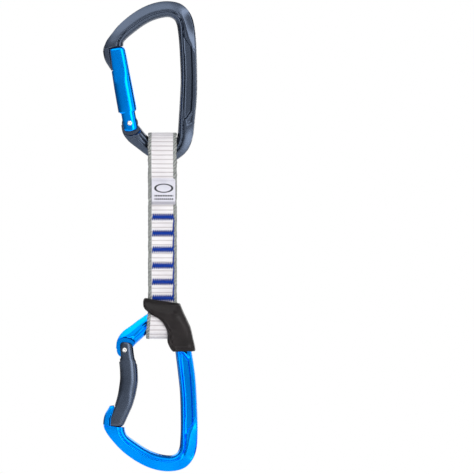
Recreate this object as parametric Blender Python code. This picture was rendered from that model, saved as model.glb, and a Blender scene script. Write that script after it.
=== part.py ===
"""Climbing quickdraw: two keylock carabiners joined by a bar-tacked nylon sling.

The frame's origin is the inner crown of the upper carabiner, where it hangs on a bolt hanger.
+Z is up, +X runs from the gate side to the spine side and +Y is away from the front.
Shapes are worked out in millimetres and written in metres.
"""

import math

import bmesh
import bpy
from mathutils import Matrix, Vector

MM = 0.001
NAME = "climbing_quickdraw"

# The carabiners, in the upper one's own axes. Both are one forging; the lower one hangs upside down.
BOW_THICKNESS = 9.4
CORNER_RADIUS = 3.4
WEB_THICKNESS = 5.0
UPPER_PIVOT = (-22.9, -64.7)
LOWER_PIVOT = (-23.9, -66.0)
LOWER_CROWN = (1.95, -267.3)
LOWER_LEAN = 3.6
TONGUE_THICKNESS = 4.4
TONGUE_CLEAR_RADIUS = 7.3
CAM_REST_RADIUS = 4.9
CAM_RISE = 1.9
GATE_TRAVEL = 38.0

# The gates, along their own axes from the pivot.
GATE_THICKNESS = 9.6
GATE_LEAN = -10.26
UPPER_BORE_TILT = 0.0
LOWER_BORE_TILT = 11.5
FORK_GAP = 5.1
FORK_DEPTH = 7.6
BORE_RADIUS = 1.9
BORE_DEPTH = 24.0
RIVET_RADIUS = 1.45
RIVET_CLEARANCE = 0.06
PLUNGER_RADIUS = 1.5
PLUNGER_HEAD = 4.6
PLUNGER_CLEARANCE = 0.25
STEM_LENGTH = 5.5
STEM_RADIUS = 0.65
SPRING_RADIUS = 1.3
SPRING_WIRE = 0.2
SPRING_TURNS = 6
NECK_HALF = 1.7
KEY_HALF = 2.9
FIT = 0.35

# The sling, in the row's axes.
PLY = 2.0
PLY_GAP = 0.2
SLING_LEFT = -11.75
SLING_RIGHT = 5.65
SWING_Z = -81.4
EYE_RADIUS = 10.1
TACKS_TOP = -119.2
TACKS_END = -173.4
TACK_FIRST = -121.9
TACK_PITCH = 9.88
TACK_COUNT = 6
TACK_THICKNESS = 0.5
LOWER_EYE_HALF = 6.45
LOWER_EYE_Z = -188.9
LOWER_EYE_SHIFT = -1.4
GAP = 0.3


# ---------------------------------------------------------------- helpers


def material(name, colour, metallic, roughness):
    made = bpy.data.materials.new(name)
    made.use_nodes = True
    shader = made.node_tree.nodes["Principled BSDF"]
    shader.inputs["Base Color"].default_value = (*colour, 1)
    shader.inputs["Metallic"].default_value = metallic
    shader.inputs["Roughness"].default_value = roughness
    return made


def collection(name):
    made = bpy.data.collections.new(name)
    bpy.context.scene.collection.children.link(made)
    return made


def empty(name, parent, place, rotation=(0, 0, 0)):
    """An empty on a joint's axis or a carabiner's crown; place is (x, z) in millimetres."""
    made = bpy.data.objects.new(name, None)
    made.empty_display_size = 0.01
    made.parent = parent
    made.location = (place[0] * MM, 0, place[1] * MM)
    made.rotation_euler = rotation
    PARTS.objects.link(made)
    return made


def add_object(name, bm, parent, finish, group=None):
    """Writes a mesh given in millimetres as an object of the assembly."""
    bmesh.ops.remove_doubles(bm, verts=bm.verts, dist=1e-4)
    bmesh.ops.recalc_face_normals(bm, faces=bm.faces)
    bmesh.ops.scale(bm, vec=(MM, MM, MM), verts=bm.verts)
    mesh = bpy.data.meshes.new(name)
    bm.to_mesh(mesh)
    bm.free()
    mesh.shade_smooth()
    mesh.set_sharp_from_angle(angle=math.radians(40))
    made = bpy.data.objects.new(name, mesh)
    made.parent = parent
    if finish:
        mesh.materials.append(finish)
    (group or PARTS).objects.link(made)
    return made


def boolean(target, bm, parent, operation="DIFFERENCE"):
    """Cuts or joins a helper solid, kept in the cutters' collection."""
    helper = add_object(f"{target.name}_helper", bm, parent, None, CUTTERS)
    helper.hide_render = True
    helper.display_type = "WIRE"
    step = target.modifiers.new(helper.name, "BOOLEAN")
    step.operation = operation
    step.object = helper


def loft(rings):
    """A solid through rings of points that all have the same count."""
    bm = bmesh.new()
    made = [[bm.verts.new(point) for point in ring] for ring in rings]
    count = len(made[0])
    for low, high in zip(made, made[1:], strict=False):
        for i in range(count):
            j = (i + 1) % count
            bm.faces.new((low[i], low[j], high[j], high[i]))
    bm.faces.new(made[0])
    bm.faces.new(made[-1])
    return bm


def prism(outline, low, high):
    """An outline of (x, z) points, given thickness from y = low to y = high."""
    return loft([[(x, y, z) for x, z in outline] for y in (low, high)])


def box(low, high):
    x0, y0, z0 = low
    x1, y1, z1 = high
    return prism([(x0, z0), (x1, z0), (x1, z1), (x0, z1)], y0, y1)


def cylinder_y(place, radius, low, high, sides=20):
    x, z = place
    turns = [2 * math.pi * i / sides for i in range(sides)]
    return prism([(x + radius * math.cos(t), z + radius * math.sin(t)) for t in turns], low, high)


def spline(points, steps):
    """Catmull-Rom curve through points of any dimension."""
    ends = [[2 * a - b for a, b in zip(points[0], points[1], strict=True)]]
    last = [[2 * a - b for a, b in zip(points[-1], points[-2], strict=True)]]
    knots = ends + [list(p) for p in points] + last
    made = []
    for i in range(1, len(knots) - 2):
        for step in range(steps):
            t = step / steps
            row = []
            for a, b, c, d in zip(*knots[i - 1 : i + 3], strict=True):
                bend = (2 * a - 5 * b + 4 * c - d) * t * t + (3 * b - a - 3 * c + d) * t**3
                row.append((2 * b + (c - a) * t + bend) / 2)
            made.append(row)
    return made + [list(points[-1])]


def rounded(half_width, half_height, radius, corner=3):
    """A rounded rectangle as (across, up) pairs, counter-clockwise."""
    radius = min(radius, half_width * 0.95, half_height * 0.95)
    made = []
    for quarter in range(4):
        cx = (half_width - radius) * (1, -1, -1, 1)[quarter]
        cy = (half_height - radius) * (1, 1, -1, -1)[quarter]
        for i in range(corner):
            angle = math.pi / 2 * (quarter + i / (corner - 1))
            made.append((cx + radius * math.cos(angle), cy + radius * math.sin(angle)))
    return made


# ---------------------------------------------------------------- carabiner frame


def bow_stations(pivot):
    """(outer x, z, inner x, z, thickness) round the bow from the nose to the hinge."""
    px, pz = pivot
    dx = px - UPPER_PIVOT[0]
    dz = pz - UPPER_PIVOT[1]
    full = BOW_THICKNESS
    return [
        (-39.05 + 0.6 * dx, -18.9 + dz, -26.9, -17.4 + dz, full - 2.6),
        (-38.2 + 0.8 * dx, -16.6 + dz, -26.7, -15.6 + 0.7 * dz, full - 0.3),
        (-36.1, -12.8, -25.6, -13.9, full),
        (-29.0, -4.1, -22.3, -10.9, full),
        (-19.8, 3.2, -14.3, -4.9, full),
        (-10.7, 7.8, -7.3, -1.5, full),
        (-1.2, 9.7, -0.1, 0.0, full),
        (7.6, 8.3, 3.6, -1.2, full),
        (13.3, 3.2, 5.3, -3.7, full),
        (16.2, -4.1, 6.2, -7.6, full),
        (17.6, -16.3, 7.2, -17.6, full),
        (18.2, -35.9, 8.0, -35.9, full),
        (18.0, -49.3, 7.6, -48.7, full),
        (16.8, -62.7, 6.9, -60.9, full),
        (15.6, -72.6, 6.3, -70.0, full),
        (13.1, -79.8, 5.3, -75.2, full),
        (8.5, -85.0, 3.2, -78.6, full),
        (0.8, -89.4, -0.4, -80.5, full),
        (-6.4, -88.0, -3.4, -79.4, full),
        (-12.2 + 0.3 * dx, -84.6 + 0.3 * dz, -7.2, -77.0, full),
        (-18.6 + 0.6 * dx, -79.8 + 0.6 * dz, -12.7 + 0.3 * dx, -71.9 + 0.3 * dz, full),
        (-23.8 + dx, -75.6 + dz, -16.4 + dx, -67.5 + dz, full),
        (-27.1 + dx, -71.0 + dz, -18.1 + dx, -65.2 + dz, full),
        (-28.2 + dx, -65.9 + dz, -18.1 + dx, -63.0 + dz, full),
    ]


def bow_rings(stations, steps, grow=0.0):
    """Rounded sections between the bow's inner and outer edges; grow makes them larger all round."""
    rings = []
    for ox, oz, ix, iz, thick in spline(stations, steps):
        middle = Vector(((ox + ix) / 2, 0, (oz + iz) / 2))
        across = Vector((ox - ix, 0, oz - iz))
        half = across.length / 2 + grow
        across.normalize()
        section = rounded(half, thick / 2 + grow, CORNER_RADIUS)
        rings.append([middle + across * a + Vector((0, b, 0)) for a, b in section])
    return rings


def spine_pocket():
    """The recessed panel of the I-beam spine, with slanted ends."""
    return [
        (10.8, -15.5),
        (13.4, -19.2),
        (14.9, -24.0),
        (15.3, -36.0),
        (15.1, -49.0),
        (14.6, -57.4),
        (11.9, -61.6),
        (10.2, -62.4),
        (10.6, -49.0),
        (11.0, -36.0),
        (10.4, -22.0),
    ]


def nose_stations(pivot):
    """(outer x, z, inner x, z, thickness) of the hook over the gate, from its tip to the shoulder."""
    out = pivot[0] - UPPER_PIVOT[0]
    dz = pivot[1] - UPPER_PIVOT[1]
    return [
        (-34.3 + out, -32.5, -33.7 - 1.2 * out, -32.6, 4.6),
        (-35.3 + 0.9 * out, -31.0, -33.95 - 0.9 * out, -30.9, 6.2),
        (-37.1 + 1.05 * out, -28.2, -34.25 - 0.2 * out, -27.9, 6.9),
        (-38.5 + 0.8 * out, -25.2, -34.6 + 0.6 * out, -25.0, 7.2),
        (-39.25 + 0.6 * out, -21.4 + 0.5 * dz, -35.1 + 0.6 * out, -21.0 + 0.5 * dz, 7.6),
        (-39.25 + 0.5 * out, -19.5 + dz, -35.3 + 0.6 * out, -19.1 + dz, 7.4),
    ]


def key_outline():
    """The part of the nose inside the gate's slot."""
    return [(-34.2, -32.2), (-32.5, -32.2), (-32.2, -29.5), (-31.4, -14.2), (-36.2, -14.2), (-36.2, -24.0)]


def cam_outline(pivot, tilt):
    """The tongue's round end; its radius grows evenly as the gate opens, which drives the plunger."""
    made = []
    for degrees in range(-97, 141, 11):
        travel = min(max(degrees, 0), GATE_TRAVEL + 22)
        radius = CAM_REST_RADIUS + CAM_RISE * math.radians(travel)
        angle = math.radians(90 - GATE_LEAN - tilt - degrees)
        made.append((pivot[0] + radius * math.cos(angle), pivot[1] + radius * math.sin(angle)))
    return made


def frame(name, parent, pivot, tilt, finish):
    """One forged carabiner bow with its spine panels, nose hook and hinge tongue."""
    rings = bow_rings(nose_stations(pivot), 2) + bow_rings(bow_stations(pivot), 2)
    made = add_object(name, loft(rings), parent, finish)
    half = BOW_THICKNESS / 2
    for side in (-1, 1):
        inside, outside = sorted((side * WEB_THICKNESS / 2, side * (half + 3)))
        boolean(made, prism(spine_pocket(), inside, outside), parent)
        inside, outside = sorted((side * TONGUE_THICKNESS / 2, side * (half + 3)))
        boolean(made, cylinder_y(pivot, TONGUE_CLEAR_RADIUS, inside, outside, 32), parent)
    cam_half = TONGUE_THICKNESS / 2 - 0.03
    boolean(made, prism(cam_outline(pivot, tilt), -cam_half, cam_half), parent, "UNION")
    boolean(made, prism(key_outline(), -KEY_HALF, KEY_HALF), parent, "UNION")
    nose = -35.0 + 0.55 * (pivot[0] - UPPER_PIVOT[0])
    for side in (-1, 1):
        inside, outside = sorted((side * NECK_HALF, side * (KEY_HALF + 1)))
        boolean(made, box((nose, inside, -26.4), (-30.0, outside, -17.2)), parent)
    boolean(made, cylinder_y(pivot, RIVET_RADIUS + RIVET_CLEARANCE, -half, half), parent)
    return made


# ---------------------------------------------------------------- gates


def straight_gate_axis():
    """(along, sideways, half-width outside, half-width inside) from the ears to the tip."""
    return [
        (-4.9, 0.0, 3.2, 3.2),
        (-4.3, 0.0, 4.2, 4.2),
        (-3.0, 0.0, 4.7, 4.7),
        (6.6, 0.0, 4.8, 4.8),
        (7.3, 0.0, 5.75, 5.65),
        (20.0, 0.0, 5.7, 5.6),
        (33.0, 0.0, 5.4, 5.4),
        (44.6, 0.0, 5.2, 5.2),
        (46.2, 0.0, 4.9, 4.5),
        (46.9, 0.0, 3.9, 3.4),
    ]


def bent_gate_axis():
    """The same for the bent gate; sideways is towards the spine."""
    return [
        (-4.7, 0.5, 3.1, 3.1),
        (-4.0, 0.6, 3.9, 3.8),
        (-2.5, 0.8, 4.5, 4.4),
        (4.6, 2.3, 4.8, 4.8),
        (6.4, 2.7, 5.6, 5.5),
        (13.0, 4.1, 5.6, 5.5),
        (19.0, 4.8, 5.6, 5.5),
        (24.6, 4.6, 5.5, 5.4),
        (33.0, 3.4, 5.3, 5.3),
        (38.0, 2.0, 5.3, 5.2),
        (44.6, 0.1, 5.2, 5.0),
        (46.4, -0.3, 4.8, 4.3),
        (47.0, -0.5, 3.9, 3.3),
    ]


def gate_point(along, sideways, depth=0.0, tilt=0.0):
    """A gate's point, in the carabiner's axes from the pivot; tilt turns the axis towards the spine."""
    lean = math.radians(GATE_LEAN + tilt)
    return Vector(
        (
            along * math.sin(lean) + sideways * math.cos(lean),
            depth,
            along * math.cos(lean) - sideways * math.sin(lean),
        )
    )


def gate_rings(axis):
    rings = []
    last = axis[-1][0]
    for along, sideways, outer, inner in axis:
        near_end = min(along + 4.9, last - along) / 2.6
        half = GATE_THICKNESS / 2 * (0.86 + 0.14 * min(1.0, near_end))
        width = (outer + inner) / 2
        centre = sideways + (inner - outer) / 2
        section = rounded(width, half, 3.6)
        rings.append([gate_point(along, centre + a, b) for a, b in section])
    return rings


def gate_box(along, sideways, depth):
    """A box in the gate's own axes, from three (low, high) pairs."""
    low, high = along
    left, right = sideways
    corners = [(low, left), (high, left), (high, right), (low, right)]
    return loft([[gate_point(a, s, y) for a, s in corners] for y in depth])


def bore_bar(levels, tilt, sides=12):
    """A round bar along the gate's bore, from (along, radius) levels."""
    rings = []
    for along, radius in levels:
        turns = [2 * math.pi * i / sides for i in range(sides)]
        rings.append([gate_point(along, radius * math.cos(t), radius * math.sin(t), tilt) for t in turns])
    return loft(rings)


def shifted(outline, pivot):
    return [(x - pivot[0], z - pivot[1]) for x, z in outline]


def gate(name, parent, pivot, axis, tilt, finish):
    """A hollow gate: forked at the hinge, bored for its spring and slotted for the nose."""
    made = add_object(name, loft(gate_rings(axis)), parent, finish)
    boolean(made, gate_box((-8, FORK_DEPTH), (-9, 9), (-FORK_GAP / 2, FORK_GAP / 2)), parent)
    boolean(made, bore_bar([(FORK_DEPTH - 3, BORE_RADIUS), (BORE_DEPTH, BORE_RADIUS)], tilt), parent)
    boolean(made, cylinder_y((0, 0), RIVET_RADIUS - 0.02, -8, 8), parent)
    out = pivot[0] - UPPER_PIVOT[0]
    dx = 0.6 * out
    wall = [(-42.0, -12.0), (-42.0, -30.0), (-37.0, -33.2), (-33.4 - 1.2 * out, -33.0)]
    wall += [(-33.6 - 0.9 * out, -30.9), (-33.9 - 0.2 * out, -27.9)]
    wall += [(-34.2 + dx, -25.0), (-34.8 + dx, -20.0), (-34.2 + dx, -12.0)]
    boolean(made, prism(shifted(wall, pivot), -6, 6), parent)
    neck = [(-41.0, -12.0), (-41.0, -35.4), (-31.9, -32.5), (-30.6, -12.0)]
    boolean(made, prism(shifted(neck, pivot), -NECK_HALF - FIT, NECK_HALF + FIT), parent)
    key = [(-41.0, -26.0), (-41.0, -35.4), (-31.9, -32.5), (-31.2, -26.0)]
    boolean(made, prism(shifted(key, pivot), -KEY_HALF - FIT, KEY_HALF + FIT), parent)
    return made


def rivet(name, parent, finish):
    """The hinge pin, turned with a low domed head on each end."""
    half = GATE_THICKNESS / 2
    bm = bmesh.new()
    head = RIVET_RADIUS + 0.05
    profile = [(0, half + 0.75), (0.9, half + 0.6), (head, half + 0.3), (head, half + 0.08)]
    shank = RIVET_RADIUS - 0.1
    profile += [(shank, half + 0.06)]
    profile += [(r, -y) for r, y in reversed(profile)]
    points = [bm.verts.new((r, 0, y)) for r, y in profile]
    for a, b in zip(points, points[1:], strict=False):
        bm.edges.new((a, b))
    bmesh.ops.spin(
        bm,
        geom=points + bm.edges[:],
        cent=(0, 0, 0),
        axis=(0, 0, 1),
        angle=2 * math.pi,
        steps=16,
        use_merge=True,
    )
    bmesh.ops.remove_doubles(bm, verts=bm.verts, dist=1e-4)
    bmesh.ops.rotate(bm, verts=bm.verts, cent=(0, 0, 0), matrix=Matrix.Rotation(math.pi / 2, 3, "X"))
    return add_object(name, bm, parent, finish)


def plunger(name, parent, tilt, finish):
    """The sliding pin between the spring and the tongue's cam: a domed head on a thin stem."""
    tip = CAM_REST_RADIUS + PLUNGER_CLEARANCE
    levels = [
        (tip, 0.35),
        (tip + 0.25, 0.95),
        (tip + 0.8, PLUNGER_RADIUS),
        (tip + PLUNGER_HEAD, PLUNGER_RADIUS),
        (tip + PLUNGER_HEAD, STEM_RADIUS),
        (tip + PLUNGER_HEAD + STEM_LENGTH, STEM_RADIUS),
    ]
    return add_object(name, bore_bar(levels, tilt), parent, finish)


def spring(name, parent, tilt, finish):
    """The return spring: a coil of wire round the plunger's stem."""
    low = CAM_REST_RADIUS + PLUNGER_CLEARANCE + PLUNGER_HEAD + GAP + SPRING_WIRE
    high = BORE_DEPTH - GAP - SPRING_WIRE
    radius = SPRING_RADIUS
    curve = bpy.data.curves.new(name, "CURVE")
    curve.dimensions = "3D"
    curve.bevel_depth = SPRING_WIRE * MM
    curve.bevel_resolution = 1
    curve.use_fill_caps = True
    steps = SPRING_TURNS * 9
    path = curve.splines.new("POLY")
    path.points.add(steps)
    for i, point in enumerate(path.points):
        angle = 2 * math.pi * i * SPRING_TURNS / steps
        along = low + (high - low) * i / steps
        place = gate_point(along, radius * math.cos(angle), radius * math.sin(angle), tilt)
        point.co = (*(place * MM), 1)
    made = bpy.data.objects.new(name, curve)
    made.parent = parent
    curve.materials.append(finish)
    PARTS.objects.link(made)
    return made


def carabiner(prefix, root, pivot, axis, tilt, frame_finish, gate_finish):
    """A frame, and a gate assembly whose origin is the rivet's axis."""
    frame(f"{prefix}_frame", root, pivot, tilt, frame_finish)
    hinge = empty(f"{prefix}_hinge", root, pivot)
    gate(f"{prefix}_gate", hinge, pivot, axis, tilt, gate_finish)
    rivet(f"{prefix}_gate_rivet", hinge, STEEL)
    plunger(f"{prefix}_gate_plunger", hinge, tilt, STEEL)
    spring(f"{prefix}_gate_spring", hinge, tilt, STEEL)


# ---------------------------------------------------------------- sling


def bezier(a, b, c, d, steps):
    made = []
    for i in range(steps):
        t = i / steps
        s = 1 - t
        weights = (s**3, 3 * s * s * t, 3 * s * t * t, t**3)
        made.append(tuple(sum(w * p[k] for w, p in zip(weights, (a, b, c, d), strict=True)) for k in (0, 1)))
    return made


def arc(centre, radius, start, end, steps):
    """(y, z) points round a centre on the Y = 0 plane; angles in degrees from +Y towards +Z."""
    made = []
    for i in range(steps):
        angle = math.radians(start + (end - start) * i / steps)
        made.append((radius * math.cos(angle), centre + radius * math.sin(angle)))
    return made


def sling_path():
    """The tape's middle line as (y, z): end, upper eye, front ply, lower eye, back ply, end."""
    step = PLY + PLY_GAP
    upper = EYE_RADIUS
    foot = TACKS_TOP + 15
    lower = LOWER_EYE_HALF
    bottom = LOWER_EYE_Z
    neck = TACKS_END - 2.5
    path = [(0, TACKS_END + 1), (0, -150.0)]
    path += bezier((0, TACKS_TOP), (0, foot), (upper, SWING_Z - 15), (upper, SWING_Z), 8)
    path += arc(SWING_Z, upper, 0, 180, 12)
    path += bezier((-upper, SWING_Z), (-upper, SWING_Z - 15), (-step, foot), (-step, TACKS_TOP), 8)
    path += [(-step, TACKS_TOP), (-step, -146.0)]
    path += bezier((-step, TACKS_END), (-step, neck), (-lower, bottom + 13), (-lower, bottom + 6.5), 6)
    path += [(-lower, bottom + 6.5)]
    path += arc(bottom, lower, 180, 360, 10)
    path += [(lower, bottom)]
    path += bezier((lower, bottom + 6.5), (lower, bottom + 13), (step, neck), (step, TACKS_END), 6)
    path += [(step, TACKS_END), (step, -146.0), (step, TACKS_TOP - 1)]
    return path


def sling_sides(y, z):
    """The tape's left and right edges; the lower eye leans to the gate side and narrows a little."""
    share = min(max((TACKS_END - 4 - z) / 18, 0), 1)
    return SLING_LEFT + LOWER_EYE_SHIFT * share, SLING_RIGHT + (LOWER_EYE_SHIFT - 0.9) * share


def sling(parent, finish):
    path = [Vector(p) for p in sling_path()]
    rings = []
    for i, point in enumerate(path):
        before = path[max(i - 1, 0)]
        after = path[min(i + 1, len(path) - 1)]
        along = (after - before).normalized()
        normal = Vector((-along.y, along.x)) * PLY / 2
        left, right = sling_sides(*point)
        up = point + normal
        down = point - normal
        bevel = 0.5
        upper = point + normal * 0.4
        lower = point - normal * 0.4
        rings.append(
            [
                (left + bevel, *up),
                (left, *upper),
                (left, *lower),
                (left + bevel, *down),
                (right - bevel, *down),
                (right, *lower),
                (right, *upper),
                (right - bevel, *up),
            ]
        )
    made = add_object("sling_webbing", loft(rings), parent, finish)
    for index in range(TACK_COUNT):
        z = TACK_FIRST - TACK_PITCH * index
        for x in tack_ends():
            boolean(made, box((x - 0.8, -6, z - 0.8), (x + 0.8, 6, z + 0.8)), parent)
    return made


def tack_ends():
    """Where each tack's end stitches go through the plies."""
    return SLING_LEFT + 4.0, SLING_RIGHT - 3.5


def bar_tack(index, parent, finish):
    """One zigzag bar of thread on both faces, joined through the plies by its end stitches."""
    z = TACK_FIRST - TACK_PITCH * index
    left = SLING_LEFT + 2.5
    right = SLING_RIGHT - 2.0
    teeth = 11
    upper = []
    lower = []
    for i in range(2 * teeth + 1):
        x = left + (right - left) * i / (2 * teeth)
        upper.append((x, z + (2.0 if i % 2 else 1.1)))
        lower.append((x + 0.01, z - (1.1 if i % 2 else 2.0)))
    outline = upper + lower[::-1]
    surface = PLY + PLY_GAP + PLY / 2 + GAP
    front_bar = prism(outline, -surface - TACK_THICKNESS, -surface)
    made = add_object(f"bar_tack_{index + 1}", front_bar, parent, finish)
    boolean(made, prism(outline, surface, surface + TACK_THICKNESS), parent, "UNION")
    deep = surface + 0.2
    for x in tack_ends():
        through = box((x - 0.4, -deep, z - 0.4), (x + 0.4, deep, z + 0.4))
        boolean(made, through, parent, "UNION")
    if index < TACK_COUNT - 1:
        next_bar = z - TACK_PITCH + 2.0 + GAP
        link = box((right - 1.0, -surface - 0.4, next_bar), (right - 0.4, -surface, z - 1.0))
        boolean(made, link, parent, "UNION")
    return made


def label(parent, finish):
    """A folded fabric label that lies on the front ply below the upper eye."""
    path = [Vector(p) for p in sling_path()]
    low = -114.3
    high = -98.6
    rings = []
    count = 8
    for i in range(count + 1):
        z = low + (high - low) * i / count
        y = front_face(path, z) - GAP
        inset = 1.2 if i == count else 0.25 if i == count - 1 else 0
        left = SLING_LEFT + 2.1 + inset
        right = SLING_RIGHT - 0.8 - inset
        rings.append([(left, y, z), (right, y, z), (right, y - 0.6, z), (left, y - 0.6, z)])
    return add_object("label", loft(rings), parent, finish)


def front_face(path, z):
    """The y of the front ply's outer face at a height between the tacks and the upper eye."""
    front = sorted((p for p in path if p.x < -1 and p.y > TACKS_END), key=lambda p: p.y)
    place = next(i for i, p in enumerate(front) if p.y > z)
    low, high = front[place - 1], front[place]
    slope = (high.x - low.x) / (high.y - low.y)
    return low.x + slope * (z - low.y) - PLY / 2 * math.sqrt(1 + slope * slope)


def label_stitches(name, z, parent, finish):
    """One row of stitches along an edge of the label."""
    path = [Vector(p) for p in sling_path()]
    y = front_face(path, z) - GAP - 0.6 - GAP
    count = 9
    left = SLING_LEFT + 3.6
    pitch = (SLING_RIGHT - 2.3 - left) / count
    rings = []
    for i in range(2 * count + 1):
        fat = 0.28 if i % 2 else 0.16
        x = left + pitch * i / 2
        section = [(1, 0), (0.5, 1), (-0.5, 1), (-1, 0), (-0.5, -1), (0.5, -1)]
        rings.append([(x, y - 0.3 + fat * a, z + fat * b) for a, b in section])
    return add_object(name, loft(rings), parent, finish)


# ---------------------------------------------------------------- keeper


def keeper_stations():
    """(left x, z, right x, z, half-thickness) down the rubber boot, from its collar to the spine."""
    return [
        (-14.2, -171.2, 7.8, -174.6, 6.8),
        (-14.8, -173.6, 8.5, -176.6, 8.0),
        (-14.2, -177.4, 10.1, -180.4, 9.2),
        (-11.0, -181.2, 12.3, -185.0, 9.5),
        (-5.4, -184.2, 13.9, -188.6, 9.5),
        (-1.9, -188.4, 14.9, -192.2, 9.3),
        (-0.4, -193.0, 15.6, -195.6, 8.6),
        (0.5, -198.4, 16.5, -199.4, 7.4),
        (2.8, -204.0, 17.3, -203.7, 6.9),
    ]


def keeper(parent, lower_root, finish):
    """A moulded boot that grips the sling's lower eye and the corner of the lower carabiner."""
    rings = []
    for lx, lz, rx, rz, half in spline(keeper_stations(), 2):
        middle = Vector(((lx + rx) / 2, 0, (lz + rz) / 2))
        across = Vector((rx - lx, 0, rz - lz))
        width = across.length / 2
        across.normalize()
        section = rounded(width, half, 2.6)
        rings.append([middle + across * a + Vector((0, b, 0)) for a, b in section])
    made = add_object("rubber_keeper", loft(rings), parent, finish)
    left, right = SLING_LEFT - GAP, SLING_RIGHT + GAP
    ply = 1.5 * PLY + PLY_GAP + GAP + TACK_THICKNESS + GAP
    eye = LOWER_EYE_HALF + PLY / 2 + GAP
    bottom = LOWER_EYE_Z - eye - GAP
    throat = [(-ply, -165.0), (-ply, TACKS_END - 1.0), (-eye, TACKS_END - 4.5), (-eye, bottom + 6.2)]
    throat += [(-0.75 * eye, bottom + 1.9), (-0.4 * eye, bottom)]
    throat += [(-y, z) for y, z in reversed(throat)]
    boolean(made, loft([[(x, y, z) for y, z in throat] for x in (left - 0.9, right)]), parent)
    corner = bow_stations(LOWER_PIVOT)[10:22]
    boolean(made, loft(bow_rings(corner, 2, 0.4)), lower_root)
    return made


# ---------------------------------------------------------------- assembly


for old in list(bpy.data.objects):
    bpy.data.objects.remove(old, do_unlink=True)

PARTS = collection(NAME)
CUTTERS = collection("cutters")
CUTTERS.hide_render = True

GREY = material("grey_anodised", (0.075, 0.088, 0.115), 1.0, 0.36)
BLUE = material("blue_anodised", (0.0, 0.16, 0.62), 1.0, 0.3)
STEEL = material("steel", (0.62, 0.61, 0.59), 1.0, 0.25)
NYLON = material("nylon_webbing", (0.85, 0.82, 0.83), 0.0, 0.8)
THREAD = material("blue_thread", (0.02, 0.06, 0.3), 0.0, 0.6)
LABEL = material("label_fabric", (0.5, 0.49, 0.52), 0.0, 0.6)
RUBBER = material("black_rubber", (0.045, 0.04, 0.04), 0.0, 0.45)

upper = empty("upper_carabiner", None, (0, 0))
lower = empty("lower_carabiner", None, LOWER_CROWN, (math.pi, -math.radians(LOWER_LEAN), 0))
band = empty("sling", None, (0, 0))

carabiner("upper", upper, UPPER_PIVOT, straight_gate_axis(), UPPER_BORE_TILT, GREY, BLUE)
carabiner("lower", lower, LOWER_PIVOT, bent_gate_axis(), LOWER_BORE_TILT, BLUE, GREY)
sling(band, NYLON)
for number in range(TACK_COUNT):
    bar_tack(number, band, THREAD)
label(band, LABEL)
label_stitches("label_stitches_top", -99.9, band, LABEL)
label_stitches("label_stitches_bottom", -113.4, band, LABEL)
keeper(band, lower, RUBBER)
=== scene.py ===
"""The looks of a climbing quickdraw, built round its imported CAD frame.

Shapes are worked out in millimetres, in the same axes as the CAD, and written in metres.
Each carabiner is built in its own axes: x, z from its inner crown, gate side towards -x.
"""

import math

import bmesh
import bpy
import numpy as np
from mathutils import Matrix, Vector


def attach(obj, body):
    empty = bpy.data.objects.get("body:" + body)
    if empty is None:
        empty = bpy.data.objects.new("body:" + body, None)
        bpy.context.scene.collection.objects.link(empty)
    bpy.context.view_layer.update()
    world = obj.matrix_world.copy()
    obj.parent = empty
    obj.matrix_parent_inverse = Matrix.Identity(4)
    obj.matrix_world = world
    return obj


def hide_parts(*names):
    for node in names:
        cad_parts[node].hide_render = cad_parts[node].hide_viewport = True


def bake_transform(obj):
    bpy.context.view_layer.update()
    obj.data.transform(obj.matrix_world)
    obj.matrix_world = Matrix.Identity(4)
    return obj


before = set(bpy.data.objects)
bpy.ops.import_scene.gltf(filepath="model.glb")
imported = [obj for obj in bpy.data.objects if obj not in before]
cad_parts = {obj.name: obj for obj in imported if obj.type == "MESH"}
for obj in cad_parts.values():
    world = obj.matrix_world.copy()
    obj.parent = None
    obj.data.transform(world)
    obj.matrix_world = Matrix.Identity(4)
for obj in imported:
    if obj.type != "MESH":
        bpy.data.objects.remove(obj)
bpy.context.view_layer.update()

MM = 0.001

# The two carabiners' frames, as in the CAD.
FULL_HALF = 4.7
UPPER_PIVOT = (-22.9, -64.7)
LOWER_PIVOT = (-23.9, -66.0)
LOWER_CROWN = (1.95, -267.3)
LOWER_LEAN = 3.6
TONGUE_HALF = 2.17
TONGUE_RADIUS = 4.9
WEB_HALF = 1.6
KEY_HALF = 1.7
KEY_HEAD_HALF = 2.9

# The gates and what they hold, as in the CAD.
GATE_LEAN = -10.26
GATE_HALF = 4.8
FORK_HALF = 2.55
SLOT_HALF = 2.05
SLOT_HEAD_HALF = 3.25
BENT_BORE_TILT = 11.5
BORE_RADIUS = 1.9
BORE_DEPTH = 24.0
PLUNGER_CLEARANCE = 0.25
PLUNGER_RADIUS = 1.5
PLUNGER_HEAD = 4.6
STEM_RADIUS = 0.65
STEM_LENGTH = 5.5
SPRING_CLEARANCE = 0.3
SPRING_RADIUS = 1.3
SPRING_WIRE = 0.2
SPRING_TURNS = 8

# The sling and its sewn-on pieces, as in the CAD.
PLY = 2.0
PLY_GAP = 0.2
SLING_LEFT = -11.75
SLING_RIGHT = 5.65
SWING_Z = -81.4
EYE_RADIUS = 10.1
TACKS_TOP = -119.2
TACKS_END = -173.4
TACK_FIRST = -121.9
TACK_PITCH = 9.88
TACK_COUNT = 6
TEETH = 10
LOWER_EYE_HALF = 6.45
LOWER_EYE_Z = -188.9
LOWER_EYE_SHIFT = -1.4
RIB_PITCH = 2.65
RIB_DEPTH = 0.34
SELVEDGE = 2.6
PRESSED = 0.35
LABEL_LEFT = -9.6
LABEL_RIGHT = 4.85
LABEL_LOW = -114.3
LABEL_TOP = -98.4
STITCH_TOP = -99.9
STITCH_LOW = -113.4

# Threads, by their radius.
ZIGZAG_THREAD = 0.27
CORE_THREAD = 0.26
LINKING_THREAD = 0.34
SEAM_THREAD = 0.15

# The keeper's clearances round the tape and round the bow.
TAPE_CLEARANCE = 0.3
BOW_CLEARANCE = 0.25


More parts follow.
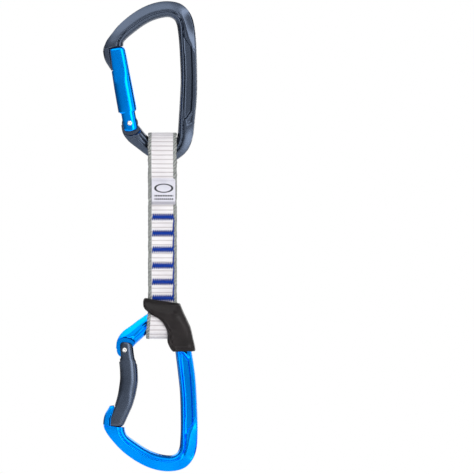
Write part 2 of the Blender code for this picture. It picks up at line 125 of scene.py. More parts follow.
# ---------------------------------------------------------------- camera, light and floor


def placed(name, data):
    """A new object in the scene."""
    made = bpy.data.objects.new(name, data)
    bpy.context.scene.collection.objects.link(made)
    return made


def make_camera():
    data = bpy.data.cameras.new("camera")
    data.lens = 373.5
    data.sensor_width = 36.0
    data.clip_end = 20.0
    made = placed("camera", data)
    made.location = (0.0424, -3.0, -0.1341)
    made.rotation_euler = (math.radians(90), 0, 0)
    bpy.context.scene.camera = made


def area_light(name, place, size, power):
    """A soft rectangular light that faces the middle of the quickdraw."""
    data = bpy.data.lights.new(name, "AREA")
    data.shape = "RECTANGLE"
    data.size, data.size_y = size
    data.energy = power
    made = placed(name, data)
    made.location = place
    direction = Vector((-0.005, 0, -0.14)) - Vector(place)
    made.rotation_euler = direction.to_track_quat("-Z", "Y").to_euler()


def make_studio():
    """White surroundings to the eye; for the metal, light that falls off from the front to the back."""
    world = bpy.data.worlds.new("studio")
    made = Nodes(world)
    seen = made.tree.nodes["Background"]
    seen.inputs["Color"].default_value = (1, 1, 1, 1)
    direction = made.node("ShaderNodeTexCoord", {}).outputs["Generated"]
    facing = made.node("ShaderNodeVectorMath", {0: direction, 1: (0.0, -0.85, 0.53)}, operation="DOT_PRODUCT")
    falloff = made.spread(facing.outputs["Value"], -0.3, 0.95, 0.16, 0.64, interpolation_type="SMOOTHSTEP")
    lighting = made.node("ShaderNodeBackground", {"Color": (0.94, 0.96, 1.0, 1), "Strength": falloff})
    to_eye = made.node("ShaderNodeLightPath", {}).outputs["Is Camera Ray"]
    parts = {0: to_eye, 1: lighting.outputs["Background"], 2: seen.outputs["Background"]}
    chosen = made.node("ShaderNodeMixShader", parts)
    made.put(chosen.outputs["Shader"], made.tree.nodes["World Output"].inputs["Surface"])
    bpy.context.scene.world = world
    bpy.context.scene.view_settings.view_transform = "Standard"
    area_light("key", (0.75, -1.10, 0.0), (0.62, 1.7), 11.5)
    area_light("top", (-0.45, -1.30, 0.75), (1.5, 0.9), 8.0)
    area_light("side", (1.4, -0.15, 0.0), (0.9, 1.6), 5.4)
    area_light("back_key", (0.6, 1.2, 0.3), (0.6, 1.4), 6.0)
    area_light("back_fill", (-0.7, 1.1, 0.5), (1.2, 1.0), 7.0)


def make_floor():
    """A plain white floor that glows a little, so that it stays white to its far edge."""
    finish = Finish("floor", Roughness=0.8, Emission_Color=(1.0, 1.0, 1.0, 1), Emission_Strength=0.18)
    finish.colour((0.95, 0.95, 0.95, 1))
    reach = 1400
    corners = [(-reach, -reach, -400), (reach, -reach, -400), (reach, reach, -400), (-reach, reach, -400)]
    mesh_object("floor", corners, [(0, 1, 2, 3)], finish.material)


# ---------------------------------------------------------------- materials


class Nodes:
    """A node tree, with short calls for the nodes that the world and the finishes share."""

    def __init__(self, owner):
        owner.use_nodes = True
        self.tree = owner.node_tree

    def node(self, kind, inputs, **settings):
        """A node with its settings; each input is a value, or another node's output."""
        made = self.tree.nodes.new(kind)
        for key, value in settings.items():
            setattr(made, key, value)
        for socket, value in inputs.items():
            self.put(value, made.inputs[socket])
        return made

    def put(self, value, socket):
        if isinstance(value, bpy.types.NodeSocket):
            self.tree.links.new(value, socket)
        else:
            socket.default_value = value

    def spread(self, factor, low, high, out_low, out_high, **settings):
        """A factor from low to high, stretched to run from out_low to out_high."""
        inputs = {"Value": factor, "From Min": low, "From Max": high, "To Min": out_low, "To Max": out_high}
        return self.node("ShaderNodeMapRange", inputs, **settings).outputs["Result"]


class Finish(Nodes):
    """A material, built round its Principled shader."""

    def __init__(self, name, **inputs):
        self.material = bpy.data.materials.new(name)
        super().__init__(self.material)
        self.shader = self.tree.nodes["Principled BSDF"]
        for socket, value in inputs.items():
            self.put(value, self.shader.inputs[socket.replace("_", " ")])
        self.place = self.node("ShaderNodeTexCoord", {}).outputs["Object"]

    def noise(self, scale, detail=3.0, stretch=None):
        vector = self.place
        if stretch:
            vector = self.node("ShaderNodeMapping", {"Vector": vector, "Scale": stretch}).outputs["Vector"]
        inputs = {"Vector": vector, "Scale": scale, "Detail": detail}
        return self.node("ShaderNodeTexNoise", inputs).outputs["Fac"]

    def waves(self, vector, scale, direction, distortion, detail=1.0):
        inputs = {"Vector": vector, "Scale": scale, "Distortion": distortion, "Detail": detail}
        wave = self.node("ShaderNodeTexWave", inputs, wave_type="BANDS", bands_direction=direction)
        return wave.outputs["Fac"]

    def ramp(self, factor, stops):
        """Colours along a factor, from (place, colour) stops."""
        made = self.node("ShaderNodeValToRGB", {"Fac": factor})
        marks = made.color_ramp.elements
        while len(marks) < len(stops):
            marks.new(0.5)
        for mark, (place, colour) in zip(marks, stops, strict=True):
            mark.position = place
            mark.color = (*colour, 1)
        return made.outputs["Color"]

    def mix(self, factor, a, b, blend="MIX"):
        """Two colours mixed; each is a colour or an output, and sits in one of the node's colour sockets."""
        a, b = ((*colour, 1) if isinstance(colour, tuple) else colour for colour in (a, b))
        made = self.node("ShaderNodeMix", {0: factor, 6: a, 7: b}, data_type="RGBA", blend_type=blend)
        return made.outputs[2]

    def maths(self, operation, *values):
        inputs = dict(enumerate(values))
        return self.node("ShaderNodeMath", inputs, operation=operation).outputs[0]

    def split(self, vector):
        return self.node("ShaderNodeSeparateXYZ", {"Vector": vector}).outputs

    def colour(self, output):
        self.put(output, self.shader.inputs["Base Color"])

    def roughness(self, output):
        self.put(output, self.shader.inputs["Roughness"])

    def bump(self, output, strength, distance):
        inputs = {"Height": output, "Strength": strength, "Distance": distance}
        self.put(self.node("ShaderNodeBump", inputs).outputs["Normal"], self.shader.inputs["Normal"])


def anodised(name, colour, worn, roughness):
    """Forged, tumbled and anodised aluminium: a fine grain, and lighter where the edges are rubbed."""
    made = Finish(name, Metallic=1.0)
    edges = made.node("ShaderNodeNewGeometry", {}).outputs["Pointiness"]
    rubbed = made.spread(edges, 0.53, 0.62, 0.0, 0.16)
    grain = made.noise(900.0, 4.0)
    cloudy = made.noise(45.0, 2.0)
    darker = tuple(0.9 * c for c in colour)
    lighter = tuple(min(1.0, 1.08 * c) for c in colour)
    body = made.ramp(cloudy, [(0.35, darker), (0.65, lighter)])
    made.colour(made.mix(rubbed, body, worn))
    made.roughness(made.spread(grain, 0.35, 0.65, roughness - 0.01, roughness + 0.02))
    made.bump(grain, 0.015, 0.00001)
    return made.material


GREY = anodised("grey_anodised_aluminium", (0.070, 0.088, 0.124), (0.18, 0.20, 0.25), 0.27)
BLUE = anodised("blue_anodised_aluminium", (0.0, 0.275, 0.95), (0.02, 0.42, 0.97), 0.22)


def brushed_steel():
    """Turned stainless steel with fine marks and a little tarnish."""
    made = Finish("stainless_steel", Metallic=1.0)
    marks = made.noise(700.0, 3.0, (1.0, 6.0, 1.0))
    made.colour(made.ramp(made.noise(300.0), [(0.3, (0.46, 0.45, 0.43)), (0.7, (0.72, 0.71, 0.69))]))
    made.roughness(made.spread(marks, 0.3, 0.7, 0.18, 0.34))
    made.bump(marks, 0.1, 0.00002)
    return made.material


STEEL = brushed_steel()


def lay_place(made):
    """The tape's own coordinates: across it and along it, in centimetres."""
    return made.node("ShaderNodeUVMap", {}, uv_map="lay").outputs["UV"]


def ribbed_nylon():
    """White tape: fine warp yarns over thick weft ribs, with painted shade in the troughs between the ribs.
    """
    made = Finish("ribbed_nylon", Roughness=0.72, Sheen_Weight=0.2, Sheen_Roughness=0.5)
    lay = lay_place(made)
    warp = made.waves(lay, 6.5, "X", 0.6)
    fuzz = made.noise(1400.0, 3.0)
    soil = made.noise(60.0, 3.0)
    tone = made.ramp(soil, [(0.3, (0.69, 0.665, 0.675)), (0.7, (0.775, 0.755, 0.76))])
    yarns = made.ramp(warp, [(0.0, (0.80, 0.78, 0.79)), (0.45, (1.0, 1.0, 1.0))])
    # Painted shade darkens the tape's colour between its ribs.
    made.colour(made.mix(1.0, made.mix(1.0, tone, yarns, "MULTIPLY"), painted_rib_shade(made, lay), "MULTIPLY"))
    height = made.maths("ADD", made.maths("MULTIPLY", warp, 0.8), made.maths("MULTIPLY", fuzz, 0.5))
    made.bump(height, 0.5, 0.00008)
    return made.material


def painted_rib_shade(made, lay):
    """Painted shade: a darker tone in the troughs between the weft ribs."""
    turn = made.maths("MULTIPLY", made.split(lay)["Y"], math.pi * 10 / RIB_PITCH)
    height = made.maths("ABSOLUTE", made.maths("SINE", turn))
    return made.ramp(height, [(0.05, (0.60, 0.56, 0.57)), (0.55, (1.0, 1.0, 1.0))])


def twill_edge():
    """Grey selvedge: mottled, slightly diagonal weave of light and dark yarns."""
    made = Finish("twill_selvedge", Roughness=0.78, Sheen_Weight=0.15)
    lay = lay_place(made)
    twill = made.waves(lay, 3.2, "DIAGONAL", 5.0)
    fuzz = made.noise(1600.0, 3.0)
    mottle = made.noise(700.0, 3.0)
    pattern = made.maths("ADD", made.maths("MULTIPLY", twill, 0.45), made.maths("MULTIPLY", mottle, 0.55))
    yarns = [(0.25, (0.11, 0.115, 0.11)), (0.5, (0.20, 0.21, 0.20)), (0.8, (0.36, 0.37, 0.35))]
    made.colour(made.ramp(pattern, yarns))
    height = made.maths("ADD", twill, made.maths("MULTIPLY", fuzz, 0.6))
    made.bump(height, 0.6, 0.00012)
    return made.material


def thread_finish(name, dark, light):
    """Twisted polyester thread."""
    made = Finish(name, Roughness=0.55, Specular_IOR_Level=0.15)
    twist = made.noise(2600.0, 2.0, (1.0, 1.0, 2.5))
    made.colour(made.ramp(twist, [(0.35, dark), (0.65, light)]))
    made.bump(twist, 0.5, 0.00006)
    return made.material


def woven_mark(made, x, z):
    """A plain oval ring over two rows of dashes: a mask for the label's dark yarn."""
    across = made.maths("DIVIDE", made.maths("SUBTRACT", x, -2.2 * MM), 5.9 * MM)
    upward = made.maths("DIVIDE", made.maths("SUBTRACT", z, -104.4 * MM), 2.8 * MM)
    squares = [made.maths("MULTIPLY", part, part) for part in (across, upward)]
    from_middle = made.maths("SQRT", made.maths("ADD", *squares))
    off_ring = made.maths("ABSOLUTE", made.maths("SUBTRACT", from_middle, 0.88))
    mask = made.spread(off_ring, 0.09, 0.14, 1.0, 0.0)
    inside = made.spread(made.maths("ABSOLUTE", across), 0.97, 1.0, 1.0, 0.0)
    for level, pitch in ((-109.0, 1.5), (-111.0, 1.25)):
        off_row = made.maths("ABSOLUTE", made.maths("SUBTRACT", z, level * MM))
        row = made.spread(off_row, 0.42 * MM, 0.55 * MM, 1.0, 0.0)
        step = made.maths("PINGPONG", x, 0.5 * pitch * MM)
        dash = made.spread(step, 0.12 * MM, 0.22 * MM, 0.0, 1.0)
        line = made.maths("MULTIPLY", made.maths("MULTIPLY", row, dash), inside)
        mask = made.maths("MAXIMUM", mask, line)
    return mask


def label_cloth():
    """Satin-woven label with a fine horizontal weave, a dark mark and a darker band along its foot."""
    made = Finish("label_cloth", Roughness=0.55, Sheen_Weight=0.15)
    weave = made.waves(made.place, 700.0, "Z", 0.5, 2.0)
    cloud = made.noise(120.0, 2.0)
    cloth = made.ramp(cloud, [(0.3, (0.56, 0.55, 0.61)), (0.7, (0.64, 0.63, 0.69))])
    parts = made.split(made.place)
    band = made.spread(parts["Z"], (LABEL_LOW + 1.6) * MM, (LABEL_LOW + 2.0) * MM, 1.0, 0.0)
    plain = made.mix(band, cloth, (0.36, 0.35, 0.40))
    mark = woven_mark(made, parts["X"], parts["Z"])
    made.colour(made.mix(mark, plain, (0.012, 0.012, 0.02)))
    made.bump(weave, 0.35, 0.00005)
    return made.material


def moulded_rubber():
    """Black rubber with a slight bloom, a fine moulded grain and a satin shine."""
    made = Finish("moulded_rubber", Specular_IOR_Level=0.2)
    grain = made.noise(1500.0, 4.0)
    bloom = made.noise(70.0, 3.0)
    made.colour(made.ramp(bloom, [(0.3, (0.007, 0.0055, 0.0055)), (0.7, (0.016, 0.0125, 0.0125))]))
    made.roughness(made.spread(bloom, 0.3, 0.7, 0.30, 0.46))
    made.bump(grain, 0.25, 0.00004)
    return made.material


NYLON = ribbed_nylon()
TWILL = twill_edge()
TACK_THREAD = thread_finish("tack_thread", (0.001, 0.016, 0.16), (0.002, 0.042, 0.34))
LABEL_THREAD = thread_finish("label_thread", (0.40, 0.39, 0.43), (0.62, 0.60, 0.65))
LABEL_CLOTH = label_cloth()
RUBBER = moulded_rubber()


# ---------------------------------------------------------------- shared shape tools


def spline(points, steps):
    """Catmull-Rom curve through points of any dimension, as an array."""
    knots = np.array(points, float)
    knots = np.vstack([2 * knots[0] - knots[1], knots, 2 * knots[-1] - knots[-2]])
    share = np.arange(steps)[:, None] / steps
    rows = []
    for a, b, c, d in zip(knots, knots[1:], knots[2:], knots[3:], strict=False):
        bend = (2 * a - 5 * b + 4 * c - d) * share**2 + (3 * b - a - 3 * c + d) * share**3
        rows.append((2 * b + (c - a) * share + bend) / 2)
    return np.vstack([*rows, knots[-2:-1]])


def smooth(value, low, high):
    """0 below low and 1 above high, with a smooth rise between them."""
    share = np.clip((np.asarray(value, float) - low) / (high - low), 0, 1)
    return share * share * (3 - 2 * share)


def quarter_round(distance, reach):
    """0 at an edge and 1 from reach inwards, rising like a quarter of a circle."""
    return np.sqrt(np.clip(1 - np.clip(1 - distance / reach, 0, 1) ** 2, 0, 1))


def ridge(offset, width):
    """A bell-shaped rise to 1 where the offset is 0."""
    return np.exp(-((offset / width) ** 2))


def circle(sides):
    """Evenly spaced angles round a circle."""
    return 2 * np.pi * np.arange(sides) / sides


def inside_by(outline, x, z):
    """How far each point lies inside a closed outline, in millimetres; negative outside."""
    outline = np.array(outline, float)
    x = np.asarray(x, float)
    z = np.asarray(z, float)
    nearest = np.full(x.shape, 1e9)
    within = np.zeros(x.shape, bool)
    for (ax, az), (bx, bz) in zip(outline, np.roll(outline, -1, axis=0), strict=True):
        ex, ez = bx - ax, bz - az
        t = np.clip(((x - ax) * ex + (z - az) * ez) / (ex * ex + ez * ez), 0, 1)
        nearest = np.minimum(nearest, np.hypot(x - ax - t * ex, z - az - t * ez))
        crosses = (az > z) != (bz > z)
        span = ez if abs(ez) > 1e-12 else 1e-12
        within ^= crosses & (x < ax + (z - az) * ex / span)
    return np.where(within, nearest, -nearest)


def mesh_object(name, points, faces, finish):
    """A smooth-shaded object from points in millimetres, with its faces turned outwards."""
    mesh = bpy.data.meshes.new(name)
    mesh.from_pydata((np.asarray(points) * MM).tolist(), [], faces)
    mesh.update()
    made = placed(name, mesh)
    if finish:
        mesh.materials.append(finish)
    mesh.shade_smooth()
    bm = bmesh.new()
    bm.from_mesh(mesh)
    bmesh.ops.recalc_face_normals(bm, faces=bm.faces)
    bm.to_mesh(mesh)
    bm.free()
    return made


def tube_faces(rings, around):
    """Quads of a closed skin through rings that all have the same count of points, and its two caps."""
    faces = []
    for r in range(rings - 1):
        low = r * around
        high = low + around
        for i in range(around):
            j = (i + 1) % around
            faces.append((low + i, low + j, high + j, high + i))
    faces.append(tuple(range(around - 1, -1, -1)))
    faces.append(tuple(range((rings - 1) * around, rings * around)))
    return faces


def loft(name, rings, finish):
    """A closed solid through an array of rings, shaped (ring, point, 3)."""
    rings = np.asarray(rings, float)
    return mesh_object(name, rings.reshape(-1, 3), tube_faces(len(rings), rings.shape[1]), finish)


def boolean(target, cutter, operation="DIFFERENCE"):
    """Cuts or joins a helper solid, applies the result and removes the helper."""
    step = target.modifiers.new("cut", "BOOLEAN")
    step.solver = "EXACT"
    step.operation = operation
    step.object = cutter
    bpy.context.view_layer.update()
    graph = bpy.context.evaluated_depsgraph_get()
    mesh = bpy.data.meshes.new_from_object(target.evaluated_get(graph))
    target.modifiers.clear()
    old = target.data
    target.data = mesh
    mesh.name = old.name
    bpy.data.meshes.remove(old)
    helper = cutter.data
    bpy.data.objects.remove(cutter)
    bpy.data.meshes.remove(helper)


def sharpen(obj, degrees):
    """Smooth shading, with sharp edges where the faces turn by more than the angle."""
    obj.data.shade_smooth()
    obj.data.set_sharp_from_angle(angle=math.radians(degrees))


def set_down(made, degrees, place):
    """A carabiner's piece, shaded and moved from the carabiner's own axes to its place."""
    sharpen(made, degrees)
    made.data.transform(place)
    return made


def prism(outline, half):
    """A helper solid: an (x, z) outline, thick by half to each side of the middle plane."""
    return loft("helper", [[(x, y, z) for x, z in outline] for y in (-half, half)], None)


def turned(place, profile, sides):
    """A helper solid turned round the Y axis through (x, z), from (y, radius) levels."""
    x, z = place
    rings = []
    for y, radius in profile:
        rings.append([(x + radius * math.cos(a), y, z + radius * math.sin(a)) for a in circle(sides)])
    return loft("helper", rings, None)


def chord(left, right):
    """The middle of the line between two points, its direction and half of its length."""
    left = np.array(left)
    right = np.array(right)
    half = np.linalg.norm(right - left) / 2
    return (left + right) / 2, (right - left) / (2 * half), half


# ---------------------------------------------------------------- carabiner frames


def bow_stations(pivot):
    """(outer x, z, inner x, z) round the bow from the shoulder above the gate to the hinge, as in the CAD."""
    px, pz = pivot
    dx = px - UPPER_PIVOT[0]
    dz = pz - UPPER_PIVOT[1]
    return [
        (-39.05 + 0.6 * dx, -18.9 + dz, -26.9, -17.5 + dz),
        (-38.2 + 0.8 * dx, -16.6 + dz, -26.7, -15.6 + 0.7 * dz),
        (-36.1, -12.8, -25.6, -13.9),
        (-29.0, -4.1, -22.3, -10.9),
        (-19.8, 3.2, -14.3, -4.9),
        (-10.7, 7.8, -7.3, -1.5),
        (-1.2, 9.7, -0.1, 0.0),
        (7.6, 8.3, 3.6, -1.2),
        (13.3, 3.2, 5.3, -3.7),
        (16.2, -4.1, 6.2, -7.6),
        (17.6, -16.3, 7.2, -17.6),
        (18.2, -35.9, 8.0, -35.9),
        (18.0, -49.3, 7.6, -48.7),
        (16.8, -62.7, 6.9, -60.9),
        (15.6, -72.6, 6.3, -70.0),
        (13.1, -79.8, 5.3, -75.2),
        (8.5, -85.0, 3.2, -78.6),
        (0.8, -89.4, -0.4, -80.5),
        (-6.4, -88.0, -3.4, -79.4),
        (-12.2 + 0.3 * dx, -84.6 + 0.3 * dz, -7.2, -77.0),
        (-18.6 + 0.6 * dx, -79.8 + 0.6 * dz, -12.7 + 0.3 * dx, -71.9 + 0.3 * dz),
        (-23.8 + dx, -75.6 + dz, -16.4 + dx, -67.5 + dz),
        (-27.1 + dx, -71.0 + dz, -18.1 + dx, -65.2 + dz),
        (-28.2 + dx, -65.9 + dz, -18.1 + dx, -63.0 + dz),
    ]


def nose_stations(pivot):
    """(outer x, z, inner x, z) of the hook over the gate, from its tip to the shoulder."""
    out = pivot[0] - UPPER_PIVOT[0]
    dz = pivot[1] - UPPER_PIVOT[1]
    return [
        (-34.3 + out, -32.5, -33.7 - 1.2 * out, -32.6),
        (-35.3 + 0.9 * out, -31.0, -33.95 - 0.9 * out, -30.9),
        (-37.1 + 1.05 * out, -28.2, -34.25 - 0.2 * out, -27.9),
        (-38.5 + 0.8 * out, -25.2, -34.6 + 0.6 * out, -25.0),
        (-39.25 + 0.6 * out, -21.4 + 0.5 * dz, -35.1 + 0.6 * out, -21.0 + 0.5 * dz),
        (-39.25 + 0.5 * out, -19.5 + dz, -35.3 + 0.6 * out, -19.1 + dz),
    ]


# The deep panel of the I-beam spine, with slanted ends.
SPINE_PANEL = [
    (10.0, -12.4), (11.0, -12.9), (14.6, -18.2), (15.1, -23.0), (15.5, -36.0), (15.3, -49.0),
    (14.7, -57.4), (11.8, -61.9), (9.7, -62.8), (10.2, -49.0), (10.6, -36.0), (10.2, -24.0),
    (9.6, -14.5),
]


# The shallow channel that runs from the crown's groove down to the spine's panel.
CROWN_CHANNEL = [
    (6.2, 3.0), (8.6, 0.6), (10.4, -3.0), (12.9, -12.8), (15.2, -18.2), (15.2, -22.0), (10.0, -22.0),
    (9.5, -14.0), (8.9, -6.0), (7.6, -1.2),
]


# The dark three-cornered hollow under the panel's lower end.
SPINE_NOTCH = [
    (11.6, -63.2), (14.9, -58.4), (15.9, -59.5), (15.2, -64.6), (12.2, -66.4),
]


# The long oval pocket in the arm that carries the hinge, from the hinge end to the bar.
ARM_POCKET = [
    (-22.0, -72.6), (-18.6, -74.6), (-14.6, -78.2), (-9.8, -82.2), (-4.0, -84.6), (-3.6, -82.6),
    (-8.6, -79.4), (-12.8, -75.6), (-16.6, -72.2), (-19.8, -70.6),
]


def section_half(d, width, x, z, pivot, bead_radius):
    """The bow's half-thickness at a distance d from its inner edge: a bead, a groove and a sloping rib."""
    spine = smooth(x, 4.5, 9.0) * smooth(-z, 2.0, 16.0) * smooth(z, -74.0, -64.0)
    bead_radius = bead_radius * (1 - 0.3 * spine)
    bead = FULL_HALF * quarter_round(d, bead_radius)
    groove = 3.5 - 0.7 * spine
    beyond = np.clip(d - groove, 0, None)
    rib = 4.75 - (0.10 * beyond + 0.026 * beyond**2) * (1 - 0.85 * spine)
    half = np.where(d < groove, bead, np.minimum(bead, rib))
    wide = smooth(width, 6.5, 8.0)
    half = half - 0.8 * wide * ridge(d - groove, 0.6)
    edge = width - d
    half = np.minimum(half, 1.3 + 3.4 * quarter_round(edge, 1.2))
    past = (x - 10.06) * 0.970 + (z + 1.7) * 0.242
    above = (x - 10.06) * 0.821 + (z + 12.1) * 0.571
    facet = smooth(above, 0.0, 1.2) * smooth(-z, -5.0, 1.0)
    half = half - 0.24 * facet * np.clip(past, 0, 5) * smooth(edge, 0.0, 1.0)
    sunk = smooth(inside_by(SPINE_PANEL, x, z), -0.3, 0.9)
    half = half - np.clip(half - 3.1, 0, None) * sunk
    notch = inside_by(SPINE_NOTCH, x, z)
    half = half - 1.2 * smooth(notch, -0.3, 2.0)
    channel = inside_by(CROWN_CHANNEL, x, z)
    half = half - 0.6 * smooth(channel, -0.3, 0.7) * (1 - sunk)
    pocket = inside_by(arm_pocket_for(pivot), x, z)
    return half - 1.0 * smooth(pocket, -0.2, 1.3)


def arm_pocket_for(pivot):
    """The pocket's outline, moved with the hinge and less so towards the bar."""
    dx = pivot[0] - UPPER_PIVOT[0]
    dz = pivot[1] - UPPER_PIVOT[1]
    share = [min(1.0, max(0.0, (-8.0 - x) / 12.0)) for x, z in ARM_POCKET]
    return [(x + dx * part, z + dz * part) for (x, z), part in zip(ARM_POCKET, share, strict=True)]


def frame_rings(pivot):
    """Rings of points along the nose and the bow, with the section's relief."""
    nose = spline(nose_stations(pivot), 14)
    bow = spline(bow_stations(pivot), 34)
    along = np.vstack([nose, bow])
    outer = along[:, 0:2]
    inner = along[:, 2:4]
    width = np.linalg.norm(outer - inner, axis=1)[:, None]
    share = np.linspace(0, 1, 46)
    share = 0.5 * share + 0.5 * (0.5 - 0.5 * np.cos(np.pi * share))
    d = share[None, :] * width
    x = inner[:, 0:1] + (outer - inner)[:, 0:1] * share
    z = inner[:, 1:2] + (outer - inner)[:, 1:2] * share
    bead_radius = np.where(np.arange(len(along)) < len(nose), 0.8, 2.9)[:, None]
    half = section_half(d, width, x, z, pivot, bead_radius)
    from_tip = np.linspace(0, 1, len(nose))
    middle = (outer + inner) / 2
    from_shoulder = np.cumsum(np.linalg.norm(np.diff(middle[len(nose) - 1 :], axis=0), axis=1))
    nose_share = 0.5 + 0.3 * quarter_round(from_tip, 1.0)
    bow_share = 0.42 + 0.58 * quarter_round(from_shoulder, 3.4)
    half = half * np.concatenate([nose_share, bow_share])[:, None]
    front = np.stack([x, -half, z], axis=2)
    back = np.stack([x, half, z], axis=2)[:, ::-1]
    return np.concatenate([front, back], axis=1)[:, :-1]


# The part of the nose that sits in the gate's slot.
KEY = [
    (-34.2, -32.2), (-32.5, -32.2), (-32.2, -29.5), (-31.4, -14.2), (-36.2, -14.2), (-36.2, -24.0),
]


def carabiner_frame(name, pivot, finish, place):
    """One forging: the bow with its nose and T-shaped key, and the tongue that the gate's fork turns on."""
    made = loft(name, frame_rings(pivot), finish)
    for side in (-1, 1):
        levels = [(side * 2.2, 7.3), (side * 3.5, 7.8), (side * 4.3, 9.0), (side * 7.0, 13.5)]
        boolean(made, turned(pivot, levels, 96))
    tongue = [(-TONGUE_HALF, TONGUE_RADIUS), (TONGUE_HALF, TONGUE_RADIUS)]
    boolean(made, turned(pivot, tongue, 64), "UNION")
    boolean(made, prism(KEY, KEY_HALF), "UNION")
    head = KEY[:3] + [(-32.05, -26.5), (-35.3, -26.5)]
    boolean(made, prism(head, KEY_HEAD_HALF), "UNION")
    right = pivot[0] - 5.9
    foot = pivot[1] + 46.0
    web = [(-35.0, -13.4), (-35.0, foot - 0.4), (right, foot), (right, -13.4)]
    boolean(made, prism(web, WEB_HALF), "UNION")
    return set_down(made, 52, place)


def hung(crown, lean):
    """Where a carabiner goes that hangs upside down from its crown and leans."""
    turn = Matrix.Rotation(-math.radians(lean), 4, "Y") @ Matrix.Rotation(math.pi, 4, "X")
    return Matrix.Translation((crown[0] * MM, 0, crown[1] * MM)) @ turn


UPPER_PLACE = Matrix.Identity(4)
LOWER_PLACE = hung(LOWER_CROWN, LOWER_LEAN)


# ---------------------------------------------------------------- gates


# (along, sideways, half-width outside, half-width inside) from the ears to the tip.
STRAIGHT_GATE = [
    (-4.9, 0.0, 3.2, 3.2), (-4.3, 0.0, 4.2, 4.2), (-3.0, 0.0, 4.75, 4.75), (6.6, 0.0, 4.8, 4.8),
    (7.3, 0.0, 5.75, 5.65), (20.0, 0.0, 5.7, 5.6), (33.0, 0.0, 5.4, 5.4), (44.6, 0.0, 5.2, 5.2),
    (46.2, 0.0, 4.9, 4.5), (46.9, 0.0, 3.9, 3.4),
]


# The same for the bent gate; sideways is towards the spine.
BENT_GATE = [
    (-4.7, 0.5, 3.1, 3.1), (-4.0, 0.6, 3.9, 3.8), (-2.5, 0.8, 4.5, 4.4), (4.6, 2.3, 4.8, 4.8),
    (6.4, 2.7, 5.6, 5.5), (13.0, 4.1, 5.6, 5.5), (19.0, 4.8, 5.6, 5.5), (24.6, 4.6, 5.5, 5.4),
    (33.0, 3.4, 5.3, 5.3), (38.0, 2.0, 5.3, 5.2), (44.6, 0.1, 5.2, 5.0), (46.4, -0.3, 4.8, 4.3),
    (47.0, -0.5, 3.9, 3.3),
]


def monotone(at, knots, values):
    """A smooth curve through (knot, value) pairs that never swings past them."""
    knots = np.asarray(knots, float)
    values = np.asarray(values, float)
    gaps = np.diff(knots)
    slopes = np.diff(values) / gaps
    product = slopes[:-1] * slopes[1:]
    weight_a = 2 * gaps[1:] + gaps[:-1]
    weight_b = gaps[1:] + 2 * gaps[:-1]
    safe_a = np.where(slopes[:-1] == 0, 1, slopes[:-1])
    safe_b = np.where(slopes[1:] == 0, 1, slopes[1:])
    middle = np.where(product > 0, (weight_a + weight_b) / (weight_a / safe_a + weight_b / safe_b), 0)
    ends = np.concatenate([slopes[:1], middle, slopes[-1:]])
    index = np.clip(np.searchsorted(knots, at) - 1, 0, len(gaps) - 1)
    t = (at - knots[index]) / gaps[index]
    a, b = values[index], values[index + 1]
    ta, tb = ends[index] * gaps[index], ends[index + 1] * gaps[index]
    return a + ta * t + (3 * (b - a) - 2 * ta - tb) * t**2 + (2 * (a - b) + ta + tb) * t**3


def superellipse(half_width, half_height, power, left_power, count):
    """A soft-cornered oval as (across, up) pairs, counter-clockwise; its left half has its own corners."""
    made = []
    for turn in circle(count):
        c = math.cos(turn)
        v = math.sin(turn)
        corner = power if c > 0 else left_power
        x = math.copysign(abs(c) ** (2 / corner), c)
        y = math.copysign(abs(v) ** (2 / corner), v)
        made.append((half_width * x, half_height * y))
    return made


def rounded(half_width, half_height, radius, corner):
    """A rounded rectangle as (across, up) pairs, counter-clockwise."""
    radius = min(radius, half_width * 0.98, half_height * 0.98)
    made = []
    for quarter in range(4):
        cx = (half_width - radius) * (1, -1, -1, 1)[quarter]
        cy = (half_height - radius) * (1, 1, -1, -1)[quarter]
        for i in range(corner):
            angle = math.pi / 2 * (quarter + i / (corner - 1))
            made.append((cx + radius * math.cos(angle), cy + radius * math.sin(angle)))
    return made


def gate_point(pivot, along, sideways, depth=0.0, tilt=0.0):
    """A point from its distances along the gate and sideways, towards the spine, from the hinge."""
    lean = math.radians(GATE_LEAN + tilt)
    x = pivot[0] + along * math.sin(lean) + sideways * math.cos(lean)
    return x, depth, pivot[1] + along * math.cos(lean) - sideways * math.sin(lean)


def gate_rings(pivot, axis):
    """Rings along a gate's skin, closer together round its ears, with fuller corners towards its tip."""
    table = np.array(axis)
    first, last = table[0, 0], table[-1, 0]
    at = np.unique(np.concatenate([np.linspace(first, last, 190), first + 0.03 * np.arange(12) ** 1.5]))
    at = at[at <= last]
    rings = []
    sideways = monotone(at, table[:, 0], table[:, 1])
    outside = monotone(at, table[:, 0], table[:, 2])
    inside = monotone(at, table[:, 0], table[:, 3])
    for along, offset, outer, inner in zip(at, sideways, outside, inside, strict=True):
        top = quarter_round(last - along, 1.6)
        foot = quarter_round(along - first, 0.9)
        half = GATE_HALF * (0.72 + 0.28 * top) * (0.9 + 0.1 * foot)
        centre = offset + (inner - outer) / 2
        fullness = 2.2 + 1.1 * float(smooth(along, 24.0, 34.0))
        section = superellipse((outer + inner) / 2, half, fullness, fullness, 64)
        rings.append([gate_point(pivot, along, centre + a, b) for a, b in section])
    return rings


def gate_box(pivot, start, end, reach, half):
    """A helper box along the gate, from start to end, with its reach sideways and its half-thickness."""
    corners = [(start, -reach), (end, -reach), (end, reach), (start, reach)]
    rings = [[gate_point(pivot, a, s, y) for a, s in corners] for y in (-half, half)]
    return loft("helper", rings, None)


def gate_bar(pivot, levels, tilt, sides):
    """A round solid along the gate's bore, from (along, radius) levels."""
    rings = []
    for along, radius in levels:
        round_points = [(radius * math.cos(t), radius * math.sin(t)) for t in circle(sides)]
        rings.append([gate_point(pivot, along, a, b, tilt) for a, b in round_points])
    return loft("helper", rings, None)


